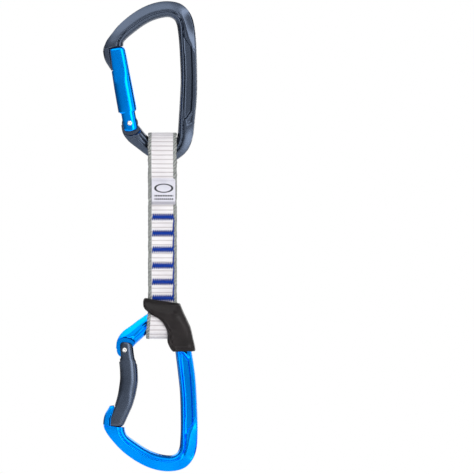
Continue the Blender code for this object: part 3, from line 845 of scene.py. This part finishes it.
def gate(name, pivot, axis, tilt, finish, place):
    """A hollow gate, forked round the tongue, bored for its spring and slotted for the nose."""
    made = loft(name, gate_rings(pivot, axis), finish)
    boolean(made, gate_box(pivot, -8, 7.6, 9, FORK_HALF))
    boolean(made, gate_bar(pivot, [(4.6, BORE_RADIUS), (BORE_DEPTH, BORE_RADIUS)], tilt, 32))
    out = pivot[0] - UPPER_PIVOT[0]
    dx = 0.6 * out
    wall = [(-42.0, -12.0), (-42.0, -30.0), (-37.0, -33.0), (-33.4 - 1.2 * out, -32.9)]
    wall += [(-33.6 - 0.9 * out, -30.9), (-33.9 - 0.2 * out, -27.9)]
    wall += [(-34.2 + dx, -25.0), (-34.8 + dx, -20.0), (-34.2 + dx, -12.0)]
    boolean(made, prism(wall, 6))
    right = pivot[0] - 5.5
    foot = pivot[1] + 45.3
    mouth = [(-41.0, -35.4), (-31.9, -32.5)]
    neck = [(-41.0, -12.0), *mouth, (-31.0, foot), (right, foot + 0.3), (right, -12.0)]
    boolean(made, prism(neck, SLOT_HALF))
    head = [(-41.0, -26.0), *mouth, (-31.2, -26.0)]
    boolean(made, prism(head, SLOT_HEAD_HALF))
    return set_down(made, 38, place)


def rivet(name, pivot, finish, place):
    """The peened hinge pin: a low dome with a dimple and six staking notches at each end."""
    turns = circle(72)
    notch = 0.5 + 0.5 * np.cos(6 * turns)
    profile = [(0.0, 5.15), (0.3, 5.18), (0.5, 5.34), (0.8, 5.42), (1.1, 5.36), (1.35, 5.2)]
    profile += [(1.5, 5.0), (1.5, 4.86), (1.35, 4.82), (1.35, 4.0)]
    rings = []
    for radius, y in profile:
        sink = 0.22 * notch * ridge(radius - 0.95, 0.3)
        x = pivot[0] + radius * np.cos(turns)
        z = pivot[1] + radius * np.sin(turns)
        rings.append(np.stack([x, -(y - sink), z], 1))
    rings += [ring * (1, -1, 1) for ring in reversed(rings)]
    return set_down(loft(name, rings, finish), 60, place)


def plunger(name, pivot, tilt, finish, place):
    """The turned pin between the spring and the tongue's cam: a domed head, a collar and a thin stem."""
    tip = TONGUE_RADIUS + PLUNGER_CLEARANCE
    collar = tip + PLUNGER_HEAD
    end = collar + STEM_LENGTH
    levels = [(tip, 0.3), (tip + 0.08, 0.62), (tip + 0.25, 0.95), (tip + 0.5, 1.26), (tip + 0.8, 1.44)]
    levels += [(tip + 1.1, PLUNGER_RADIUS), (collar - 0.12, PLUNGER_RADIUS), (collar, PLUNGER_RADIUS - 0.12)]
    levels += [(collar, STEM_RADIUS), (end - 0.15, STEM_RADIUS), (end, STEM_RADIUS - 0.15)]
    made = gate_bar(pivot, levels, tilt, 48)
    made.name = name
    made.data.materials.append(finish)
    return set_down(made, 50, place)


def coil(name, pivot, tilt, finish, place):
    """The return spring round the plunger's stem, with closed coils at its ends."""
    low = TONGUE_RADIUS + PLUNGER_CLEARANCE + PLUNGER_HEAD + SPRING_CLEARANCE + SPRING_WIRE
    high = BORE_DEPTH - SPRING_CLEARANCE - SPRING_WIRE
    steps = 48 * SPRING_TURNS
    rings = []
    for share in np.linspace(0, 1, steps + 1):
        turn = 2 * math.pi * SPRING_TURNS * share
        along = low + (high - low) * (share - math.sin(2 * math.pi * share) / (2 * math.pi) * 0.8)
        ring = []
        for a in circle(10):
            radius = SPRING_RADIUS + SPRING_WIRE * math.cos(a)
            level = along + SPRING_WIRE * math.sin(a)
            ring.append(gate_point(pivot, level, radius * math.cos(turn), radius * math.sin(turn), tilt))
        rings.append(ring)
    made = loft(name, rings, finish)
    made.data.transform(place)
    return made


# ---------------------------------------------------------------- sling


def bezier(a, b, c, d, steps):
    """A cubic curve from a to d with b and c as its handles, without its last point."""
    t = np.arange(steps)[:, None] / steps
    s = 1 - t
    a, b, c, d = (np.array(p, float) for p in (a, b, c, d))
    return s**3 * a + 3 * s * s * t * b + 3 * s * t * t * c + t**3 * d


def arc(centre, radius, start, end, steps):
    """Part of a circle round (0, centre), between angles in degrees, without its last point."""
    angles = np.radians(start + (end - start) * np.arange(steps) / steps)
    return np.stack([radius * np.cos(angles), centre + radius * np.sin(angles)], 1)


def sling_path():
    """The tape's middle line as (y, z): end, upper eye, front ply, lower eye, back ply, end."""
    step = PLY + PLY_GAP
    upper = EYE_RADIUS
    lower = LOWER_EYE_HALF
    bottom = LOWER_EYE_Z
    waist = TACKS_END - 2.5
    top_foot = TACKS_TOP + 15
    top_knee = SWING_Z - 15
    parts = [
        [(0, TACKS_END + 1), (0, -150.0)],
        bezier((0, TACKS_TOP), (0, top_foot), (upper, top_knee), (upper, SWING_Z), 60),
        arc(SWING_Z, upper, 0, 180, 90),
        bezier((-upper, SWING_Z), (-upper, top_knee), (-step, top_foot), (-step, TACKS_TOP), 60),
        [(-step, TACKS_TOP), (-step, -146.0)],
        bezier((-step, TACKS_END), (-step, waist), (-lower, bottom + 13), (-lower, bottom + 6.5), 30),
        [(-lower, bottom + 6.5), (-lower, bottom + 3)],
        arc(bottom, lower, 180, 360, 60),
        [(lower, bottom), (lower, bottom + 3)],
        bezier((lower, bottom + 6.5), (lower, bottom + 13), (step, waist), (step, TACKS_END), 30),
        [(step, TACKS_END), (step, -146.0), (step, TACKS_TOP - 1)],
    ]
    return np.vstack([np.array(p, float) for p in parts])


def resampled(path, spacing):
    """The same line with points at an even spacing, and the distance along it of each."""
    lengths = np.concatenate([[0], np.cumsum(np.linalg.norm(np.diff(path, axis=0), axis=1))])
    at = np.linspace(0, lengths[-1], int(lengths[-1] / spacing) + 1)
    return np.stack([np.interp(at, lengths, path[:, k]) for k in range(path.shape[1])], 1), at


def sling_sides(z):
    """The tape's left and right edges; the lower eye leans towards the gate side and narrows a little."""
    share = np.clip((TACKS_END - 4 - z) / 18, 0, 1)
    return SLING_LEFT + LOWER_EYE_SHIFT * share, SLING_RIGHT + (LOWER_EYE_SHIFT - 0.9) * share


def tack_levels():
    return [TACK_FIRST - TACK_PITCH * i for i in range(TACK_COUNT)]


def pressed(x, y, z):
    """How far the stitching pulls the outer faces of the sewn plies in, in millimetres."""
    sunk = np.zeros(np.broadcast(x, z).shape)
    for level in tack_levels():
        sunk = np.maximum(sunk, np.exp(-(((z - level) / 2.1) ** 4)))
    inner = smooth(x, SLING_LEFT + 1.6, SLING_LEFT + 3.0)
    inner = inner * smooth(-x, -SLING_RIGHT + 1.2, -SLING_RIGHT + 2.6)
    return PRESSED * sunk * inner * (np.abs(y) > 1.0) * (np.abs(y) < 3.0)


def webbing(body_finish, edge_finish):
    """One tape of ribbed nylon with a twill selvedge along both edges."""
    path, along = resampled(sling_path(), 0.3)
    tangent = np.gradient(path, axis=0)
    tangent /= np.linalg.norm(tangent, axis=1)[:, None]
    normal = np.stack([-tangent[:, 1], tangent[:, 0]], 1)
    y_middle = path[:, 0:1]
    z_middle = path[:, 1:2]
    left, right = sling_sides(z_middle)
    even = np.linspace(0, 1, 31)
    across = 0.45 * (0.5 - 0.5 * np.cos(np.pi * even)) + 0.55 * even
    sewn = smooth(z_middle, TACKS_END - 3, TACKS_END + 2)
    sewn = sewn * smooth(-z_middle, -TACKS_TOP - 3, -TACKS_TOP + 2)
    depth = RIB_DEPTH * (1 - 0.45 * sewn)
    x = left + (right - left) * across
    edge = np.minimum(x - left, right - x)
    run = along[:, None]
    rib = np.abs(np.sin(np.pi * run / RIB_PITCH)) ** 0.6
    twill = 0.5 + 0.5 * np.sin(2 * np.pi * (run / 1.3 + edge / 1.6))
    body = smooth(edge, SELVEDGE - 0.25, SELVEDGE + 0.25)
    thick = PLY / 2 - depth * (1 - rib) * (0.35 + 0.65 * body) - 0.05 * (1 - twill) * (1 - body)
    thick -= 0.10 * ridge(edge - SELVEDGE, 0.28)
    thick *= quarter_round(edge, 0.75) * 0.92 + 0.08
    ripple = 0.10 * np.sin(2 * np.pi * run / RIB_PITCH)
    ripple = ripple + 0.13 * np.sin(run / 1.7 + 1.3 * np.sin(run / 4.1))
    x = x + ripple * (across - 0.5) * 2 * (1 - smooth(edge, 0.0, 2.0))
    faces = []
    for side in (1, -1):
        y = y_middle + side * normal[:, 0:1] * thick
        z = z_middle + side * normal[:, 1:2] * thick
        outside = np.sign(y_middle) * side * normal[:, 0:1] > 0.5
        y = y - np.sign(y_middle) * pressed(x, y_middle, z_middle) * outside
        faces.append(np.stack([x, y, z], 2))
    rings = np.concatenate([faces[0], faces[1][:, ::-1]], axis=1)
    made = loft("webbing", rings, body_finish)
    made.data.materials.append(edge_finish)
    lay_out(made, along, across)
    return made


def lay_out(made, along, across):
    """Writes each corner's place along and across the tape, and gives the selvedges their own finish."""
    width = SLING_RIGHT - SLING_LEFT
    around = 2 * len(across)
    column_edge = np.minimum(across, 1 - across) * width
    ring_along = np.repeat(along, around)
    ring_across = np.tile(np.concatenate([across, across[::-1]]), len(along)) * width
    place = made.data.uv_layers.new(name="lay")
    corners = np.empty(len(made.data.loops), int)
    made.data.loops.foreach_get("vertex_index", corners)
    place.data.foreach_set("uv", np.stack([ring_across[corners], ring_along[corners]], 1).ravel() * 0.1)
    is_edge = np.concatenate([column_edge, column_edge[::-1]]) < SELVEDGE
    marks = np.zeros(len(made.data.polygons), int)
    for index, polygon in enumerate(made.data.polygons):
        is_end = polygon.loop_total > 4
        marks[index] = int(is_end or all(is_edge[v % around] for v in polygon.vertices))
    made.data.polygons.foreach_set("material_index", marks)
    made.data.update()


# ---------------------------------------------------------------- stitching


def tube(points, radius, sides=8):
    """Points and faces of a round thread along a line, with closed ends."""
    points = np.asarray(points, float)
    tangent = np.gradient(points, axis=0)
    tangent /= np.linalg.norm(tangent, axis=1)[:, None] + 1e-12
    side = np.cross(tangent, (0.0, 1.0, 0.0))
    side /= np.linalg.norm(side, axis=1)[:, None] + 1e-12
    up = np.cross(side, tangent)
    turns = circle(sides)[None, :, None]
    ring = np.cos(turns) * side[:, None] + np.sin(turns) * up[:, None]
    return (points[:, None] + radius * ring).reshape(-1, 3), tube_faces(len(points), sides)


def threads(name, lines, finish):
    """Several tubes as one object, from (points, radius) pairs."""
    points = []
    faces = []
    start = 0
    for line, radius in lines:
        found, quads = tube(line, radius)
        points.append(found)
        faces += [tuple(start + i for i in quad) for quad in quads]
        start += len(found)
    return mesh_object(name, np.vstack(points), faces, finish)


def zigzag(left, right, teeth, half, middle, y, bulge):
    """A stitched zigzag: each strand arches a little off the tape and dives in at its ends."""
    strands = 6
    points = []
    for i in range(2 * teeth):
        for k in range(strands):
            t = k / strands
            way = 1 if i % 2 else -1
            x = left + (right - left) * (i + t) / (2 * teeth)
            z = middle + way * half * (1 - 2 * t)
            points.append((x, y + bulge * math.sin(math.pi * t), z))
    points.append((right, y, middle - half))
    return points


def bar_tack(index, finish):
    """A dense zigzag bar of thread on both faces, with the thread that runs on to the next one."""
    level = tack_levels()[index]
    left = SLING_LEFT + 2.6
    right = SLING_RIGHT - 1.9
    lines = []
    for side in (-1, 1):
        surface = side * (PLY + PLY_GAP + PLY / 2 - PRESSED + 0.28)
        bulge = side * 0.2
        for half in (1.95, 1.5):
            lines.append((zigzag(left, right, TEETH, half, level, surface, bulge), ZIGZAG_THREAD))
        core = zigzag(left + 0.1, right - 0.1, 3 * TEETH, 0.8, level, surface, bulge * 1.2)
        lines.append((core, CORE_THREAD))
    if index < TACK_COUNT - 1:
        surface = -(PLY + PLY_GAP + PLY / 2)
        run = [(-0.1, 0.1, 0.6), (0.15, 0.15, 2.4), (-0.1, 0.2, 4.6)]
        run += [(-0.2, 0.2, 6.2), (-0.1, 0.15, 7.8), (-0.1, 0.1, 9.2)]
        run = [(right + aside, surface - off, level - down) for aside, off, down in run]
        lines.append((spline(run, 8), LINKING_THREAD))
    return threads(f"tack_thread_{index + 1}", lines, finish)


# ---------------------------------------------------------------- label


def front_face(z):
    """The y of the front ply's outer face between the upper eye and the tacks."""
    path = sling_path()
    front = path[(path[:, 0] < -1) & (path[:, 1] > TACKS_TOP - 1) & (path[:, 1] < SWING_Z)]
    front = front[np.argsort(front[:, 1])]
    slope = np.gradient(front[:, 0], front[:, 1])
    skin = front[:, 0] - PLY / 2 * np.sqrt(1 + slope**2)
    return np.interp(z, front[:, 1], skin)


def label_half_width(z):
    """The label narrows at its top, where its corners are rounded."""
    corner = 1.5
    inset = corner - np.sqrt(np.clip(corner**2 - np.clip(z - (LABEL_TOP - corner), 0, corner) ** 2, 0, None))
    return (LABEL_RIGHT - LABEL_LEFT) / 2 - inset


def woven_label(finish):
    """A folded cloth label that lies on the front ply; its edges lift a little."""
    rows = np.linspace(LABEL_LOW, LABEL_TOP, 64)
    middle = (LABEL_LEFT + LABEL_RIGHT) / 2
    across = np.linspace(-1, 1, 41)
    rings = []
    for z in rows:
        half = label_half_width(z)
        x = middle + across * half
        base = front_face(z)
        lift = 0.10 + 0.10 * np.abs(across) ** 6 + 0.03 * np.sin(across * 5 + z)
        from_end = min(z - LABEL_LOW, LABEL_TOP - z) + 0.05
        from_edge = np.minimum((1 - np.abs(across)) * half, from_end)
        round_edge = 0.04 + 0.21 * quarter_round(from_edge, 0.25)
        near = base - lift - 0.25
        stitched = 0.09 * (ridge(z - STITCH_TOP, 0.5) + ridge(z - STITCH_LOW, 0.5))
        front = np.stack([x, near - round_edge + stitched, np.full(len(x), z)], 1)
        back = np.stack([x, near + round_edge, np.full(len(x), z)], 1)
        rings.append(np.concatenate([front, back[::-1]]))
    return loft("woven_label", rings, finish)


def label_seam(name, z, finish):
    """A row of running stitches: each one rises from the cloth, lies on it and dives back."""
    lines = []
    left = LABEL_LEFT + 1.2
    pitch = 1.32
    count = int((LABEL_RIGHT - 1.2 - left) / pitch)
    for i in range(count + 1):
        x = left + pitch * i
        y = front_face(z) - 0.62
        run = [(0.0, 0.25), (0.12, 0.0), (0.5, -0.1), (0.88, 0.0), (1.0, 0.25)]
        stitch = [(x + aside, y + deep, z) for aside, deep in run]
        lines.append((spline(stitch, 4), SEAM_THREAD))
    return threads(name, lines, finish)


# ---------------------------------------------------------------- keeper


# (left x, z, right x, z, half-thickness) down the rubber boot, from its collar to the spine.
KEEPER_STATIONS = [
    (-14.2, -171.2, 7.8, -174.6, 6.8), (-14.8, -173.6, 8.5, -176.6, 8.0),
    (-14.2, -177.4, 10.1, -180.4, 9.2), (-10.6, -181.0, 12.3, -185.0, 9.5),
    (-5.4, -183.9, 13.9, -188.6, 9.5), (-2.0, -188.0, 14.9, -192.2, 9.3),
    (-0.1, -193.0, 15.6, -195.6, 8.6), (0.1, -198.4, 16.5, -199.4, 7.4),
    (2.8, -204.0, 17.3, -203.7, 6.9),
]


def keeper_rings():
    """Rings down the boot, rounded in at its two ends, with its relief."""
    stations = spline(KEEPER_STATIONS, 16)
    count = len(stations)
    rings = []
    for index, (lx, lz, rx, rz, half) in enumerate(stations):
        middle, across, width = chord((lx, lz), (rx, rz))
        lip = quarter_round(min(index, count - 1 - index), 7)
        section = superellipse(width - 0.7 * (1 - lip), half - 0.9 * (1 - lip), 3.6, 8.0, 112)
        ring = []
        for a, b in section:
            x, z = middle + across * a
            relief = keeper_relief(x, z, a + width, index / count)
            ring.append((x, b + math.copysign(relief, b) * min(1.0, abs(b) / 5), z))
        rings.append(ring)
    return rings


def keeper_relief(x, z, from_left, down):
    """Bulges over the bar and the loop, a rim along the cut-out and a groove near each end."""
    bulges = [(4.7, -181.0, 1.3, 1.1), (2.1, -191.8, 1.7, 1.1), (3.4, -198.4, 1.6, 1.0)]
    bulges += [(-6.0, -177.4, 4.0, 0.4), (9.6, -188.0, 3.4, 0.3), (-1.0, -181.4, 2.2, -0.4)]
    total = sum(height * ridge(math.hypot(x - bx, z - bz), size) for bx, bz, size, height in bulges)
    rim = 0.4 * ridge(from_left - 1.3, 0.6) - 0.7 * ridge(from_left - 2.7, 0.6)
    grooves = 0.35 * (ridge(down - 0.93, 0.014) + ridge(down - 0.10, 0.016))
    return total + rim * smooth(down, 0.2, 0.35) - grooves


def boot(name, finish):
    """The moulded boot that grips the sling's lower eye and the corner of the lower carabiner."""
    made = loft(name, keeper_rings(), finish)
    left = SLING_LEFT - TAPE_CLEARANCE - 0.9
    right = SLING_RIGHT + TAPE_CLEARANCE
    ply = 1.5 * PLY + PLY_GAP + 1.1
    eye = LOWER_EYE_HALF + PLY / 2 + TAPE_CLEARANCE
    bottom = LOWER_EYE_Z - eye - TAPE_CLEARANCE
    throat = [(-ply, -165.0), (-ply, TACKS_END - 1.0), (-eye, TACKS_END - 4.5), (-eye, bottom + 6.2)]
    throat += [(-0.75 * eye, bottom + 1.9), (-0.4 * eye, bottom)]
    throat += [(-y, z) for y, z in reversed(throat)]
    boolean(made, loft("helper", [[(x, y, z) for y, z in throat] for x in (left, right)], None))
    rings = []
    for ox, oz, ix, iz in spline(bow_stations(LOWER_PIVOT)[10:22], 8):
        middle, across, width = chord((ix, iz), (ox, oz))
        section = rounded(width + BOW_CLEARANCE, FULL_HALF + BOW_CLEARANCE, 3.6, 10)
        rings.append([(*(middle + across * a), b) for a, b in section])
    pocket = loft("helper", np.array(rings)[:, :, [0, 2, 1]], None)
    pocket.matrix_world = LOWER_PLACE
    boolean(made, pocket)
    sharpen(made, 42)
    return made


# ---------------------------------------------------------------- assembly


def fit(made, node, body):
    """Hides a piece's CAD node and puts the piece on its body."""
    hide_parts(node)
    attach(made, body)


make_camera()
make_studio()
make_floor()

upper_bow = carabiner_frame("upper_bow", UPPER_PIVOT, GREY, UPPER_PLACE)
fit(upper_bow, "upper_frame", "upper_carabiner")
lower_bow = carabiner_frame("lower_bow", LOWER_PIVOT, BLUE, LOWER_PLACE)
fit(lower_bow, "lower_frame", "lower_carabiner")

upper_gate = gate("upper_gate_shell", UPPER_PIVOT, STRAIGHT_GATE, 0.0, BLUE, UPPER_PLACE)
fit(upper_gate, "upper_gate", "upper_gate_body")
lower_gate = gate("lower_gate_shell", LOWER_PIVOT, BENT_GATE, BENT_BORE_TILT, GREY, LOWER_PLACE)
fit(lower_gate, "lower_gate", "lower_gate_body")

upper_rivet = rivet("upper_rivet", UPPER_PIVOT, STEEL, UPPER_PLACE)
fit(upper_rivet, "upper_gate_rivet", "upper_gate_body")
lower_rivet = rivet("lower_rivet", LOWER_PIVOT, STEEL, LOWER_PLACE)
fit(lower_rivet, "lower_gate_rivet", "lower_gate_body")

tape = webbing(NYLON, TWILL)
fit(tape, "sling_webbing", "sling_body")
for number in range(TACK_COUNT):
    fit(bar_tack(number, TACK_THREAD), f"bar_tack_{number + 1}", "sling_body")

cloth = woven_label(LABEL_CLOTH)
fit(cloth, "label", "sling_body")
seam_top = label_seam("label_seam_top", STITCH_TOP, LABEL_THREAD)
fit(seam_top, "label_stitches_top", "sling_body")
seam_bottom = label_seam("label_seam_bottom", STITCH_LOW, LABEL_THREAD)
fit(seam_bottom, "label_stitches_bottom", "sling_body")

for side, pivot, tilt, place in (
    ("upper", UPPER_PIVOT, 0.0, UPPER_PLACE),
    ("lower", LOWER_PIVOT, BENT_BORE_TILT, LOWER_PLACE),
):
    pin = plunger(f"{side}_plunger", pivot, tilt, STEEL, place)
    fit(pin, f"{side}_gate_plunger", f"{side}_plunger_body")
    wire = coil(f"{side}_coil", pivot, tilt, STEEL, place)
    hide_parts(f"{side}_gate_spring")
    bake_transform(wire)

keeper = boot("keeper", RUBBER)
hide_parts("rubber_keeper")
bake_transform(keeper)
